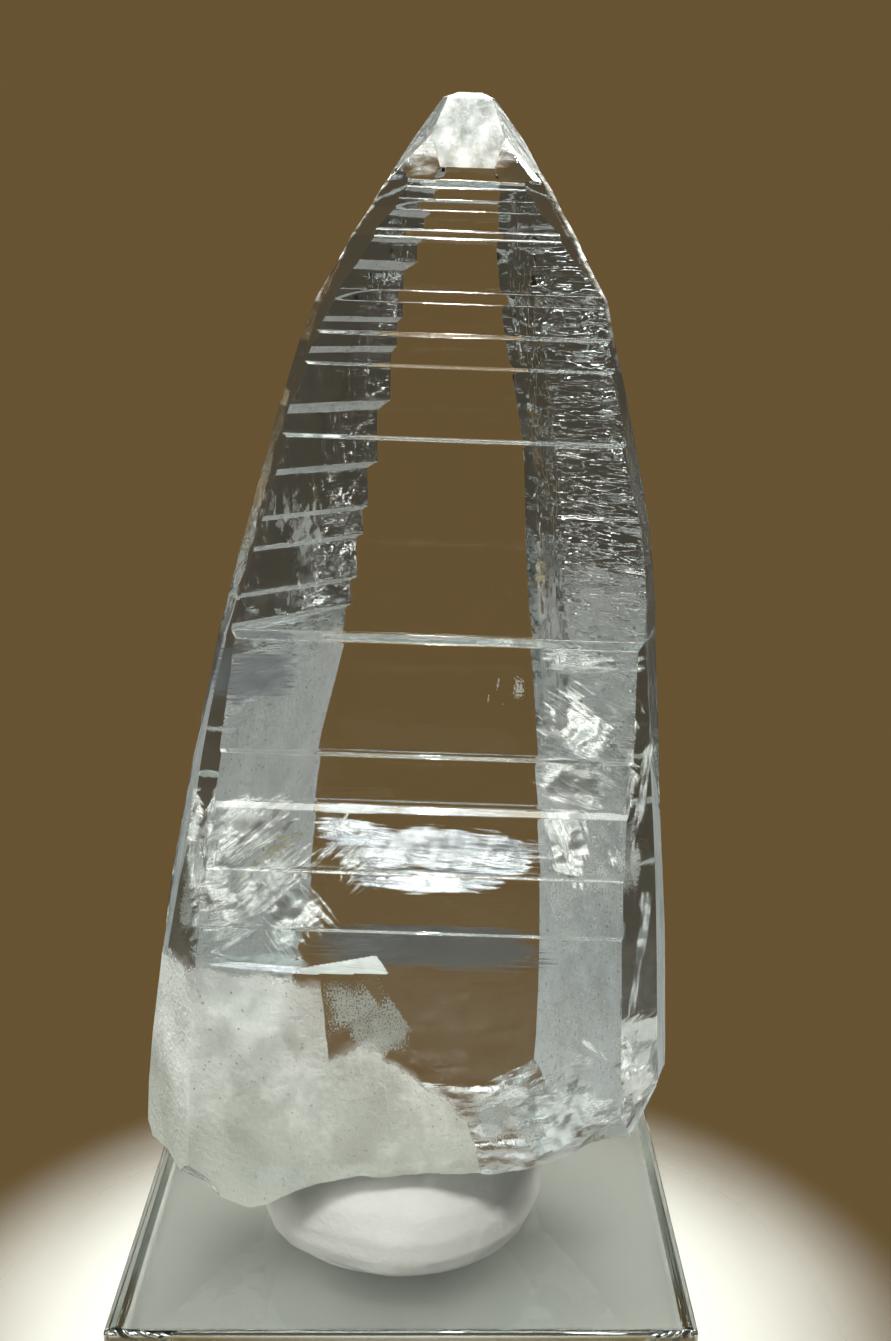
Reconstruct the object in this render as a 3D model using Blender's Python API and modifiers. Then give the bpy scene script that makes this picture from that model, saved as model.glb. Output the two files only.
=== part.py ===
"""A clear quartz crystal of stepped, tapering habit, held upright by a pat of white putty on an acrylic block.

Three pieces: display_block, mounting_putty and quartz_crystal. The origin is the middle of the block's
underside, +Z is up, and the crystal's broad front face looks along -Y.
"""

import math

import bmesh
import bpy
from mathutils import Vector, noise

MM = 0.001

# The clear acrylic block.
BLOCK_SIDE = 0.100
BLOCK_THICKNESS = 0.020
BLOCK_EDGE_RADIUS = 0.0012

# Pieces that touch keep this much air between their meshes.
CONTACT_GAP = 0.0003

# The pat of putty: its centre on the block and its outline, as radius and height above the block's top.
PUTTY_CENTRE = (-0.0010, -0.0110)
PUTTY_OUTLINE_MM = (
    (0.0, 0.0), (23.6, 0.0), (25.2, 1.4), (26.2, 4.2), (26.4, 8.0), (25.8, 12.5),
    (24.4, 17.5), (22.0, 22.5), (17.5, 27.0), (9.0, 29.5), (0.0, 30.0),
)
PUTTY_STEPS = 40
PUTTY_DENT_DEPTH = 0.0011
PUTTY_DENT_SPAN = 0.016

# The crystal leans a little to its right, and its long axis starts here.
CRYSTAL_LEAN = math.radians(2.0)
CRYSTAL_FOOT = (0.002, -0.011, 0.040)

# The six prism faces, by the direction each looks in, anticlockwise from the front.
FACE_NAMES = ("front", "right_front", "right_rear", "rear", "left_rear", "left_front")
FIRST_FACE_ANGLE = math.radians(-90.0)
FACE_TURN = math.radians(60.0)

# Everything below is in millimetres along the crystal's axis and out from it.
LOFT_BOTTOM = -15.0
TIP_BASE = 168.3
TIP_TOP = 179.6
CROWN_RISE = 0.9
CROWN_SHRINK = 0.5

# A growth tier keeps one distance from the axis up to its top, and then a ledge slopes in to the next:
# (distance, height of the tier's top, height that the ledge above it takes).
FRONT_TIERS = (
    (26.8, 46.0, 0.3), (26.3, 56.0, 0.3), (25.7, 66.4, 1.3), (24.7, 75.6, 0.4), (23.9, 94.4, 1.0),
    (21.8, 126.4, 0.5), (20.0, 137.6, 0.4), (18.6, 142.4, 0.4), (17.4, 147.4, 1.9), (15.9, 157.2, 1.4),
    (14.2, 161.5, 1.8), (12.7, 165.0, 1.3), (11.0, TIP_BASE, 0.0),
)
LEFT_REAR_TIERS = (
    (21.2, 94.8, 0.6), (20.4, 99.6, 0.8), (19.3, 107.2, 0.8), (18.2, 112.2, 0.8), (17.2, 119.5, 1.1),
    (15.6, 129.4, 1.6), (13.7, 139.0, 1.0), (12.9, 144.0, 0.8), (12.1, 152.4, 1.4), (10.2, 156.8, 1.0),
    (8.9, 161.0, 1.2), (7.4, 165.0, 1.0), (6.2, 167.0, 0.0),
)

# The other faces taper by vicinal growth: (height, distance from the axis).
LEFT_REAR_TAPER = (
    (LOFT_BOTTOM, 38.6), (8.4, 37.2), (19.6, 35.4), (29.7, 33.4), (40.9, 31.2), (51.0, 29.9),
    (62.8, 28.3), (71.5, 26.6), (82.0, 23.9), (90.0, 21.9),
)
RIGHT_FRONT_TAPER = (
    (LOFT_BOTTOM, 43.6), (18.0, 43.4), (38.0, 42.4), (57.0, 41.4), (88.0, 40.6), (101.0, 40.5),
    (108.0, 39.9), (114.0, 39.0), (126.6, 35.7), (137.5, 33.1), (142.0, 31.8), (148.6, 30.1),
    (154.0, 25.8), (158.2, 22.9), (162.6, 18.9), (165.0, 17.0),
)
RIGHT_REAR_TAPER = (
    (LOFT_BOTTOM, 34.6), (12.4, 33.7), (31.9, 32.4), (42.3, 31.5), (53.1, 29.9), (65.5, 27.7),
    (84.5, 24.8), (95.7, 22.5), (108.5, 20.8), (121.0, 19.4), (132.9, 17.4), (142.8, 15.3),
    (149.4, 14.4), (156.8, 13.5), (165.8, 13.0),
)
REAR_TAPER = (
    (LOFT_BOTTOM, 31.5), (1.5, 30.0), (22.0, 27.6), (44.2, 25.6), (45.2, 24.8), (57.4, 23.6),
    (58.4, 22.6), (66.6, 21.6), (67.8, 20.2), (89.2, 17.8), (90.4, 16.4), (125.0, 12.9), (157.0, 12.3),
    (158.0, 11.6), (164.0, 11.2),
)
LEFT_FRONT_TAPER = (
    (LOFT_BOTTOM, 46.9), (18.0, 46.6), (36.5, 45.9), (50.5, 44.8), (60.8, 43.1), (66.7, 42.3),
    (84.0, 40.3), (94.0, 39.2), (106.7, 36.2), (119.4, 33.1), (131.0, 30.4), (141.0, 26.6),
    (147.8, 23.1), (153.0, 19.8), (157.6, 17.3), (162.0, 13.7), (164.6, 12.0),
)

# The tiers of the left rear face die out over this width, into a smooth edge with the left front face.
LEFT_EDGE_FADE = 3.0
LEFT_EDGE_TAPER = LEFT_REAR_TAPER + (
    (99.3, 20.0), (105.9, 18.9), (112.4, 17.5), (118.9, 16.2), (125.4, 14.6), (133.0, 13.2),
    (147.7, 12.0), (155.5, 9.2), (164.7, 6.8),
)

# The faces of the point, as distances at its foot, halfway and at its blunt top.
TIP_HEIGHTS = (TIP_BASE, 173.4, TIP_TOP)
TIP_DISTANCES = {
    "front": (11.0, 7.4, 3.0),
    "right_front": (14.6, 11.3, 7.3),
    "right_rear": (11.7, 9.8, 5.0),
    "rear": (10.0, 6.6, 2.5),
    "left_rear": (5.3, 3.4, 0.2),
    "left_front": (9.5, 6.1, 1.8),
}

# Two small facets cut the lower corners off the point's front face, down to the ledge at its foot.
# Each passes through three points: at the side of the face, at its foot and at the ledge.
TIP_CORNER_FACETS = {
    "left": ((-2.8, -7.4, 173.4), (-1.2, -11.0, 168.3), (-2.3, -11.0, 166.3)),
    "right": ((8.8, -7.4, 173.4), (7.3, -11.0, 168.3), (8.4, -11.0, 166.3)),
}
TIP_FACET_FLOOR = 166.3
TIP_CUTTER_HALF = 15.0

# Crinkled growth relief on the two rear side faces: (lowest, highest, depth, across span, upright span).
RELIEF = {
    "right_rear": (14.0, 162.0, 0.60, 9.0, 1.7),
    "left_rear": (6.0, 94.0, 0.45, 12.0, 3.4),
}
RELIEF_FADE = 10.0
RELIEF_ROW = 2.0
COLUMNS = {
    "front": 1, "right_front": 1, "right_rear": 8, "rear": 1, "left_rear": 6, "left_front": 1,
}

# The broken foot, in metres on the object's own axes: its height, slopes, and rises (x, y, span, rise).
FOOT_HEIGHT = 0.0412
FOOT_SLOPE_X = 0.045
FOOT_SLOPE_Y = -0.02
FOOT_RISES = (
    (-0.025, -0.040, 0.0085, -0.0048),
    (-0.044, -0.030, 0.0110, 0.0020),
    (0.046, -0.022, 0.0140, 0.0066),
    (0.034, -0.040, 0.0075, 0.0026),
    (-0.020, 0.016, 0.0140, 0.0026),
    (0.020, 0.012, 0.0120, -0.0022),
)
FOOT_ROUGHNESS = ((0.0150, 0.0010), (0.0058, 0.0008))
FOOT_CELL = 0.0026
FOOT_MARGIN = 0.008

# Shell-shaped flakes struck off edges and corners: the place, the way it was struck from, the shell's
# radius and the flake's depth.
FLAKES = (
    ((-0.0365, -0.0378, 0.0400), (-0.50, -0.65, -0.55), 0.0140, 0.0024),
    ((0.0350, -0.0378, 0.0470), (0.40, -0.75, -0.55), 0.0130, 0.0030),
    ((0.0468, -0.0215, 0.0500), (0.90, -0.15, -0.45), 0.0120, 0.0020),
    ((-0.0482, -0.0190, 0.0410), (-0.85, -0.10, -0.55), 0.0120, 0.0022),
    ((-0.0200, 0.0180, 0.0430), (-0.30, 0.80, -0.50), 0.0150, 0.0028),
    ((0.0270, 0.0175, 0.0430), (0.40, 0.80, -0.45), 0.0140, 0.0024),
)
FLAKE_ROUGHNESS = 0.035


def clear_scene():
    for obj in list(bpy.data.objects):
        bpy.data.objects.remove(obj, do_unlink=True)


def new_collection(name):
    collection = bpy.data.collections.new(name)
    bpy.context.scene.collection.children.link(collection)
    return collection


def new_material(name, colour, roughness, transmission=0.0, ior=1.45):
    material = bpy.data.materials.new(name)
    material.use_nodes = True
    shader = material.node_tree.nodes["Principled BSDF"]
    shader.inputs["Base Color"].default_value = (*colour, 1.0)
    shader.inputs["Roughness"].default_value = roughness
    shader.inputs["Metallic"].default_value = 0.0
    shader.inputs["Transmission Weight"].default_value = transmission
    shader.inputs["IOR"].default_value = ior
    return material


def new_object(name, bm, collection, material=None):
    mesh = bpy.data.meshes.new(name)
    bm.to_mesh(mesh)
    bm.free()
    if material:
        mesh.materials.append(material)
    obj = bpy.data.objects.new(name, mesh)
    collection.objects.link(obj)
    return obj


def make_cutter(obj):
    obj.hide_render = True
    obj.display_type = "WIRE"


def cut(obj, cutter, name):
    modifier = obj.modifiers.new(name, "BOOLEAN")
    modifier.operation = "DIFFERENCE"
    modifier.solver = "EXACT"
    modifier.object = cutter


# ---------------------------------------------------------------- the crystal's faces


def between(points, height):
    """The distance at a height, read along a list of (height, distance)."""
    if height <= points[0][0]:
        return points[0][1]
    for (low, start), (high, end) in zip(points, points[1:]):
        if height <= high:
            return start + (end - start) * (height - low) / (high - low)
    return points[-1][1]


def tier_profile(tiers, below=()):
    """The tiers as (height, distance), above a taper where one is given."""
    points = list(below) or [(LOFT_BOTTOM, tiers[0][0])]
    for (distance, top, rise), (next_distance, _, _) in zip(tiers, tiers[1:]):
        points.append((top, distance))
        points.append((top + rise, next_distance))
    points.append((tiers[-1][1], tiers[-1][0]))
    return points


def face_profiles():
    """Each face's (height, distance) list, from the loft's bottom to the blunt top of the point.

    left_edge is not a face: it is where the left rear face would be if it had no tiers.
    """
    profiles = {
        "front": tier_profile(FRONT_TIERS),
        "right_front": list(RIGHT_FRONT_TAPER),
        "right_rear": list(RIGHT_REAR_TAPER),
        "rear": list(REAR_TAPER),
        "left_rear": tier_profile(LEFT_REAR_TIERS, LEFT_REAR_TAPER),
        "left_front": list(LEFT_FRONT_TAPER),
        "left_edge": list(LEFT_EDGE_TAPER),
    }
    for name, points in profiles.items():
        distances = TIP_DISTANCES["left_rear" if name == "left_edge" else name]
        points += [pair for pair in zip(TIP_HEIGHTS, distances) if pair[0] > points[-1][0]]
    return profiles


def face_normal(index):
    angle = FIRST_FACE_ANGLE + FACE_TURN * index
    return Vector((math.cos(angle), math.sin(angle)))


def corner(index, profiles, height, smooth_left_edge=False):
    """Where a face meets the next one anticlockwise, at a height."""
    one, two = index % 6, (index + 1) % 6
    n1, n2 = face_normal(one), face_normal(two)
    first = "left_edge" if smooth_left_edge else FACE_NAMES[one]
    d1 = between(profiles[first], height)
    d2 = between(profiles[FACE_NAMES[two]], height)
    cross = n1.x * n2.y - n1.y * n2.x
    return Vector(((d1 * n2.y - d2 * n1.y) / cross, (d2 * n1.x - d1 * n2.x) / cross))


def relief_depth(name, along, height):
    """How far the crinkled growth stands out of a face, in millimetres."""
    if name not in RELIEF:
        return 0.0
    lowest, highest, depth, across_span, upright_span = RELIEF[name]
    fade = min(height - lowest, highest - height) / RELIEF_FADE
    if fade <= 0.0:
        return 0.0
    ripple = noise.noise(Vector((along / across_span, height / upright_span, 3.7)))
    return depth * min(fade, 1.0) * ripple


def section(profiles, height):
    """The crystal's outline at a height, with its relief, as points in millimetres."""
    outline = []
    for index, name in enumerate(FACE_NAMES):
        after_left_edge = name == "left_front"
        start = corner(index - 1, profiles, height, smooth_left_edge=after_left_edge)
        end = corner(index, profiles, height)
        normal = face_normal(index)
        width = (end - start).length
        reach = max(width - LEFT_EDGE_FADE, 0.6 * width) if name == "left_rear" else width
        steps = COLUMNS[name] - 1 if name == "left_rear" else COLUMNS[name]
        for column in range(COLUMNS[name]):
            along = reach * column / steps
            stand = relief_depth(name, along, height) if column else 0.0
            point = start.lerp(end, along / width) + normal * stand
            outline.append(Vector((point.x, point.y, height)))
    return outline


def section_heights(profiles):
    """Every height where a face changes slope, and even rows between them for the relief."""
    marks = sorted({height for points in profiles.values() for height, _ in points})
    heights = [marks[0]]
    for mark in marks[1:]:
        gap = mark - heights[-1]
        if gap < 0.15:
            continue
        rows = max(1, round(gap / RELIEF_ROW)) if heights[-1] >= 0.0 else 1
        low = heights[-1]
        heights += [low + gap * row / rows for row in range(1, rows + 1)]
    return heights


def loft_crystal():
    """The whole crystal before its foot is broken off, standing on the axis, in metres."""
    profiles = face_profiles()
    outlines = [section(profiles, height) for height in section_heights(profiles)]
    top = outlines[-1]
    middle = sum(top, Vector()) / len(top)
    outlines.append([middle.lerp(point, CROWN_SHRINK) + Vector((0, 0, CROWN_RISE)) for point in top])
    bm = bmesh.new()
    rings = [[bm.verts.new(point * MM) for point in outline] for outline in outlines]
    for lower, upper in zip(rings, rings[1:]):
        for here in range(len(lower)):
            after = (here + 1) % len(lower)
            bm.faces.new((lower[here], lower[after], upper[after], upper[here]))
    bm.faces.new(list(reversed(rings[0])))
    bm.faces.new(rings[-1])
    bmesh.ops.remove_doubles(bm, verts=bm.verts, dist=1e-6)
    bmesh.ops.dissolve_degenerate(bm, edges=bm.edges, dist=1e-6)
    return bm


def tip_facet_cutter(side, points, collection):
    """What a corner facet takes off the point: everything outside it, above the ledge at its foot."""
    through, second, third = (Vector(point) * MM for point in points)
    outward = (second - through).cross(third - through).normalized()
    if outward.y > 0.0:
        outward = -outward
    half = TIP_CUTTER_HALF * MM
    bm = bmesh.new()
    bmesh.ops.create_cube(bm, size=2 * half)
    bmesh.ops.translate(bm, vec=(0.0, 0.0, TIP_FACET_FLOOR * MM + half), verts=bm.verts)
    halved = bmesh.ops.bisect_plane(
        bm,
        geom=bm.verts[:] + bm.edges[:] + bm.faces[:],
        dist=1e-7,
        plane_co=through,
        plane_no=outward,
        clear_inner=True,
    )
    rim = [item for item in halved["geom_cut"] if isinstance(item, bmesh.types.BMEdge)]
    bmesh.ops.holes_fill(bm, edges=rim)
    bmesh.ops.recalc_face_normals(bm, faces=bm.faces)
    cutter = new_object(f"tip_facet_cutter_{side}", bm, collection)
    cutter.rotation_euler = (0.0, CRYSTAL_LEAN, 0.0)
    cutter.location = CRYSTAL_FOOT
    make_cutter(cutter)
    return cutter


# ---------------------------------------------------------------- the broken foot


def foot_height(x, y):
    """The height of the broken underside over a point of the block, in metres."""
    height = FOOT_HEIGHT + FOOT_SLOPE_X * x + FOOT_SLOPE_Y * y
    for centre_x, centre_y, span, rise in FOOT_RISES:
        away = ((x - centre_x) ** 2 + (y - centre_y) ** 2) / span**2
        height += rise * math.exp(-away)
    for span, depth in FOOT_ROUGHNESS:
        height += depth * noise.noise(Vector((x / span, y / span, span * 1000)))
    return height


def foot_slab(name, collection, lift, far_side):
    """A closed slab with the broken surface on one side, moved by lift, and a flat face at far_side."""
    width = BLOCK_SIDE + 2 * FOOT_MARGIN
    depth = 0.75 * width
    bm = bmesh.new()
    bmesh.ops.create_grid(
        bm, x_segments=round(width / FOOT_CELL), y_segments=round(depth / FOOT_CELL), size=0.5
    )
    bmesh.ops.scale(bm, vec=(width, depth, 1.0), verts=bm.verts)
    bmesh.ops.translate(bm, vec=(0.0, CRYSTAL_FOOT[1], 0.0), verts=bm.verts)
    for vert in bm.verts:
        vert.co.z = foot_height(vert.co.x, vert.co.y) + lift
    copied = bmesh.ops.extrude_face_region(bm, geom=bm.faces[:])
    for item in copied["geom"]:
        if isinstance(item, bmesh.types.BMVert):
            item.co.z = far_side
    bmesh.ops.recalc_face_normals(bm, faces=bm.faces)
    slab = new_object(name, bm, collection)
    make_cutter(slab)
    return slab


def flake_cutter(number, place, struck_from, radius, depth, collection):
    """A rough ball set so that it takes one shallow shell off the crystal at a place."""
    bm = bmesh.new()
    bmesh.ops.create_icosphere(bm, subdivisions=4, radius=radius)
    for vert in bm.verts:
        wave = noise.noise(vert.co / (0.35 * radius) + Vector((number, 0.0, 0.0)))
        vert.co *= 1.0 + FLAKE_ROUGHNESS * wave
    flake = new_object(f"flake_cutter_{number}", bm, collection)
    flake.location = Vector(place) + Vector(struck_from).normalized() * (radius - depth)
    make_cutter(flake)
    return flake


def build_crystal(pieces, cutters):
    material = new_material("clear_quartz", (0.97, 0.98, 0.98), 0.0, transmission=1.0, ior=1.544)
    crystal = new_object("quartz_crystal", loft_crystal(), pieces, material)
    crystal.rotation_euler = (0.0, CRYSTAL_LEAN, 0.0)
    crystal.location = CRYSTAL_FOOT
    for side, points in TIP_CORNER_FACETS.items():
        cut(crystal, tip_facet_cutter(side, points, cutters), f"{side} corner of the point")
    cut(crystal, foot_slab("foot_break_cutter", cutters, 0.0, 0.005), "broken foot")
    for number, flake in enumerate(FLAKES, start=1):
        cut(crystal, flake_cutter(number, *flake, cutters), f"flake {number}")
    return crystal


# ---------------------------------------------------------------- the putty and the block


def build_putty(pieces, cutters):
    """A turned pat, dented by hand, with the crystal's foot pressed into its top."""
    outline = bmesh.new()
    points = [outline.verts.new((radius * MM, 0.0, height * MM)) for radius, height in PUTTY_OUTLINE_MM]
    for start, end in zip(points, points[1:]):
        outline.edges.new((start, end))
    turned = new_object("putty_turning", outline, pieces)
    screw = turned.modifiers.new("turn", "SCREW")
    screw.steps = screw.render_steps = PUTTY_STEPS
    screw.use_merge_vertices = True
    screw.merge_threshold = 0.0001
    screw.use_normal_calculate = True
    graph = bpy.context.evaluated_depsgraph_get()
    mesh = bpy.data.meshes.new_from_object(turned.evaluated_get(graph))
    bpy.data.objects.remove(turned, do_unlink=True)
    bm = bmesh.new()
    bm.from_mesh(mesh)
    bpy.data.meshes.remove(mesh)
    bmesh.ops.remove_doubles(bm, verts=bm.verts, dist=1e-5)
    bmesh.ops.recalc_face_normals(bm, faces=bm.faces)
    for vert in bm.verts:
        if vert.co.z < 0.5 * MM:
            continue
        dent = PUTTY_DENT_DEPTH * noise.noise(vert.co / PUTTY_DENT_SPAN + Vector((5.0, 2.0, 0.0)))
        outward = Vector((vert.co.x, vert.co.y, 0.0))
        if outward.length > 0.0:
            vert.co += outward.normalized() * dent
    material = new_material("putty_white", (0.86, 0.85, 0.82), 0.75)
    putty = new_object("mounting_putty", bm, pieces, material)
    putty.location = (*PUTTY_CENTRE, BLOCK_THICKNESS + CONTACT_GAP)
    press = foot_slab("foot_press_cutter", cutters, -CONTACT_GAP, 0.090)
    cut(putty, press, "crystal pressed in")
    return putty


def build_block(pieces):
    bm = bmesh.new()
    bmesh.ops.create_cube(bm, size=1.0)
    bmesh.ops.scale(bm, vec=(BLOCK_SIDE, BLOCK_SIDE, BLOCK_THICKNESS), verts=bm.verts)
    material = new_material("clear_acrylic", (0.96, 0.98, 0.98), 0.02, transmission=1.0, ior=1.49)
    block = new_object("display_block", bm, pieces, material)
    block.location = (0.0, 0.0, BLOCK_THICKNESS / 2)
    rounding = block.modifiers.new("polished edges", "BEVEL")
    rounding.width = BLOCK_EDGE_RADIUS
    rounding.segments = 3
    return block


clear_scene()
specimen = new_collection("quartz_specimen")
helpers = new_collection("cutters")
build_block(specimen)
build_putty(specimen, helpers)
build_crystal(specimen, helpers)
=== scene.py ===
"""A clear quartz crystal of stepped, tapering habit, on a pat of white putty on a clear acrylic block."""

import math

import bmesh
import bpy
from mathutils import Matrix, Vector, noise


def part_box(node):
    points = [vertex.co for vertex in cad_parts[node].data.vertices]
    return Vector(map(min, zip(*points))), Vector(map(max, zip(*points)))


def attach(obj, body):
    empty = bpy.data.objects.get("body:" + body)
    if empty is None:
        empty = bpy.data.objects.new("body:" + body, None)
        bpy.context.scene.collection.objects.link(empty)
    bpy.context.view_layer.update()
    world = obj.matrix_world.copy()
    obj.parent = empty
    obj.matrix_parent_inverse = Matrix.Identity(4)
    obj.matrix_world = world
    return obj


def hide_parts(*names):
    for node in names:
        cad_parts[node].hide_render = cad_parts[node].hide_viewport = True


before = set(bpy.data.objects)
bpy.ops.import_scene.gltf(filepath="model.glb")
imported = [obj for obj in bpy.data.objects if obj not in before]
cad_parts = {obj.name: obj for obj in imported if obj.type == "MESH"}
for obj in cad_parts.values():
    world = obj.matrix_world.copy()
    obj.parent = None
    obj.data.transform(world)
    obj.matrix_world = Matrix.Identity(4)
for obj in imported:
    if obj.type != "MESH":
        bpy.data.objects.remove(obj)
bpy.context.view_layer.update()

MM = 0.001


# ================================================================ the display block
# The block is a polished square of clear cast acrylic. Its edges are rounded a little, its sawn and
# flame-polished sides are not quite flat, and it carries the putty with nothing but grip.

BLOCK_EDGE_RADIUS = 0.0012
BLOCK_EDGE_STEPS = 6
BLOCK_RIM = 0.00012
ACRYLIC_IOR = 1.49
ACRYLIC_CLEAR = (0.985, 0.995, 0.99)
ACRYLIC_TINT = (0.86, 0.95, 0.93)
ACRYLIC_DENSITY = 9.0


def new_piece(name, bm, materials):
    mesh = bpy.data.meshes.new(name)
    bm.to_mesh(mesh)
    bm.free()
    for material in materials:
        mesh.materials.append(material)
    piece = bpy.data.objects.new(name, mesh)
    bpy.context.scene.collection.objects.link(piece)
    return piece


def new_material(name):
    material = bpy.data.materials.new(name)
    material.use_nodes = True
    net = material.node_tree
    return material, net, net.nodes["Principled BSDF"]


def connect(net, socket, value):
    """Links a socket to another socket, or sets it to a plain value or colour."""
    if isinstance(value, bpy.types.NodeSocket):
        net.links.new(value, socket)
    elif socket.type == "RGBA":
        socket.default_value = (*value, 1.0)
    else:
        socket.default_value = value


def feed(net, node, **inputs):
    """Connects a node's inputs, named with _ for a space."""
    for name, value in inputs.items():
        connect(net, node.inputs[name.replace("_", " ")], value)


def new_node(net, kind, **inputs):
    node = net.nodes.new("ShaderNode" + kind)
    feed(net, node, **inputs)
    return node


def object_noise(net, scale, detail=3.0, roughness=0.5, stretch=(1.0, 1.0, 1.0), place=(0, 0, 0)):
    """A noise texture in the piece's own coordinates; stretch over 1 packs it closer on that axis."""
    where = new_node(net, "TexCoord").outputs["Object"]
    packed = new_node(net, "Mapping", Vector=where, Location=place, Scale=stretch).outputs["Vector"]
    texture = new_node(net, "TexNoise", Vector=packed, Scale=scale, Detail=detail, Roughness=roughness)
    return texture.outputs["Fac"]


def bump(net, height, distance, strength=1.0, under=None):
    node = new_node(net, "Bump", Height=height, Distance=distance, Strength=strength)
    if under:
        feed(net, node, Normal=under)
    return node.outputs["Normal"]


def remapped(net, value, low, high, to_low=0.0, to_high=1.0, smooth=False):
    node = new_node(net, "MapRange", Value=value, From_Min=low, From_Max=high, To_Min=to_low, To_Max=to_high)
    node.interpolation_type = "SMOOTHSTEP" if smooth else "LINEAR"
    return node.outputs["Result"]


def blended(net, factor, first, second):
    """Two colours mixed by a factor."""
    node = new_node(net, "Mix")
    node.data_type = "RGBA"
    feed(net, node, Factor=factor, A=first, B=second)
    return node.outputs["Result"]


def absorbing(net, colour, density):
    volume = new_node(net, "VolumeAbsorption", Color=colour, Density=density)
    feed(net, net.nodes["Material Output"], Volume=volume.outputs["Volume"])


def acrylic_material():
    material, net, shader = new_material("clear_acrylic")
    scratches = object_noise(net, 260.0, 2.0, 0.6, stretch=(1.0, 5.0, 1.0))
    waves = object_noise(net, 38.0, 1.0)
    feed(
        net, shader, Base_Color=ACRYLIC_CLEAR, Transmission_Weight=1.0, IOR=ACRYLIC_IOR,
        Roughness=remapped(net, scratches, 0.55, 0.85, 0.0, 0.06), Normal=bump(net, waves, 0.00006),
    )
    absorbing(net, ACRYLIC_TINT, ACRYLIC_DENSITY)
    return material


low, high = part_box("display_block")
bm = bmesh.new()
bmesh.ops.create_cube(bm, size=1.0)
bmesh.ops.scale(bm, vec=high - low, verts=bm.verts)
bmesh.ops.translate(bm, vec=(low + high) / 2, verts=bm.verts)
bmesh.ops.bevel(
    bm, geom=bm.edges[:], offset=BLOCK_EDGE_RADIUS, offset_type="OFFSET", segments=BLOCK_EDGE_STEPS,
    profile=0.5, affect="EDGES", material=-1,
)
sides = sorted(bm.faces, key=lambda face: face.calc_area())[-6:]
bmesh.ops.inset_individual(bm, faces=sides, thickness=BLOCK_RIM, depth=0.0)
block = new_piece("acrylic_block", bm, [acrylic_material()])
block.data.shade_smooth()
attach(block, "root")
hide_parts("display_block")


# ================================================================ the mounting putty
# The putty is a hand-rolled pat of matte white mounting putty. It was pressed on the block, and the
# crystal's broken foot was pressed into it, so its top takes the foot's form with a hair of air between.

CONTACT_GAP = 0.0003
PUTTY_CENTRE = Vector((-0.0010, -0.0110, 0.0))
PUTTY_OUTLINE_MM = (
    (0.0, 0.0), (23.6, 0.0), (25.2, 1.4), (26.2, 4.2), (26.4, 8.0), (25.8, 12.5),
    (24.4, 17.5), (22.0, 22.5), (17.5, 27.0), (9.0, 29.5), (0.0, 30.0),
)
PUTTY_TURNS = 96
PUTTY_DENT_DEPTH = 0.0011
PUTTY_DENT_SPAN = 0.016
PUTTY_GRAIN = ((0.0042, 0.00022), (0.0016, 0.00009))
PUTTY_FLAT_RIM = 0.0005
PUTTY_PALE = (0.70, 0.70, 0.675)
PUTTY_GREY = (0.62, 0.615, 0.59)
SLAB_TOP = 0.090
SLAB_BOTTOM = 0.005
SHARP_ANGLE = math.radians(40)

# The broken underside of the crystal: its height over a point of the block, its slopes, the rises on
# it (x, y, span, rise), and its roughness (span, depth).
FOOT_HEIGHT = 0.0412
FOOT_SLOPE_X = 0.045
FOOT_SLOPE_Y = -0.02
FOOT_RISES = (
    (-0.025, -0.040, 0.0085, -0.0048),
    (-0.044, -0.030, 0.0110, 0.0020),
    (0.046, -0.022, 0.0140, 0.0066),
    (0.034, -0.040, 0.0075, 0.0026),
    (-0.020, 0.016, 0.0140, 0.0026),
    (0.020, 0.012, 0.0120, -0.0022),
)
FOOT_ROUGHNESS = ((0.0150, 0.0010), (0.0058, 0.0008), (0.0024, 0.00028), (0.0011, 0.00012))
FOOT_CELL = 0.0009
FOOT_WIDTH = 0.116
FOOT_DEPTH = 0.080


def foot_height(x, y):
    height = FOOT_HEIGHT + FOOT_SLOPE_X * x + FOOT_SLOPE_Y * y
    for centre_x, centre_y, span, rise in FOOT_RISES:
        away = ((x - centre_x) ** 2 + (y - centre_y) ** 2) / span**2
        height += rise * math.exp(-away)
    for span, depth in FOOT_ROUGHNESS:
        height += depth * noise.noise(Vector((x / span, y / span, span * 1000)))
    return height


def foot_slab(lift, far_side, material):
    """A closed slab with the broken surface on one side, moved by lift, and a flat face at far_side."""
    bm = bmesh.new()
    bmesh.ops.create_grid(
        bm, x_segments=round(FOOT_WIDTH / FOOT_CELL), y_segments=round(FOOT_DEPTH / FOOT_CELL), size=0.5
    )
    bmesh.ops.scale(bm, vec=(FOOT_WIDTH, FOOT_DEPTH, 1.0), verts=bm.verts)
    bmesh.ops.translate(bm, vec=(0.0, CRYSTAL_FOOT[1], 0.0), verts=bm.verts)
    for vert in bm.verts:
        vert.co.z = foot_height(vert.co.x, vert.co.y) + lift
    copied = bmesh.ops.extrude_face_region(bm, geom=bm.faces[:])
    for item in copied["geom"]:
        if isinstance(item, bmesh.types.BMVert):
            item.co.z = far_side
    bmesh.ops.recalc_face_normals(bm, faces=bm.faces)
    return new_piece("foot_slab", bm, [material])


def cut_away(piece, cutters):
    """Takes the cutters off the piece, leaves their material on the cuts, and removes them."""
    for cutter in cutters:
        modifier = piece.modifiers.new("cut", "BOOLEAN")
        modifier.operation = "DIFFERENCE"
        modifier.solver = "EXACT"
        modifier.material_mode = "TRANSFER"
        modifier.object = cutter
    graph = bpy.context.evaluated_depsgraph_get()
    mesh = bpy.data.meshes.new_from_object(piece.evaluated_get(graph))
    piece.modifiers.clear()
    piece.data = mesh
    for cutter in cutters:
        bpy.data.objects.remove(cutter, do_unlink=True)


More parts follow.
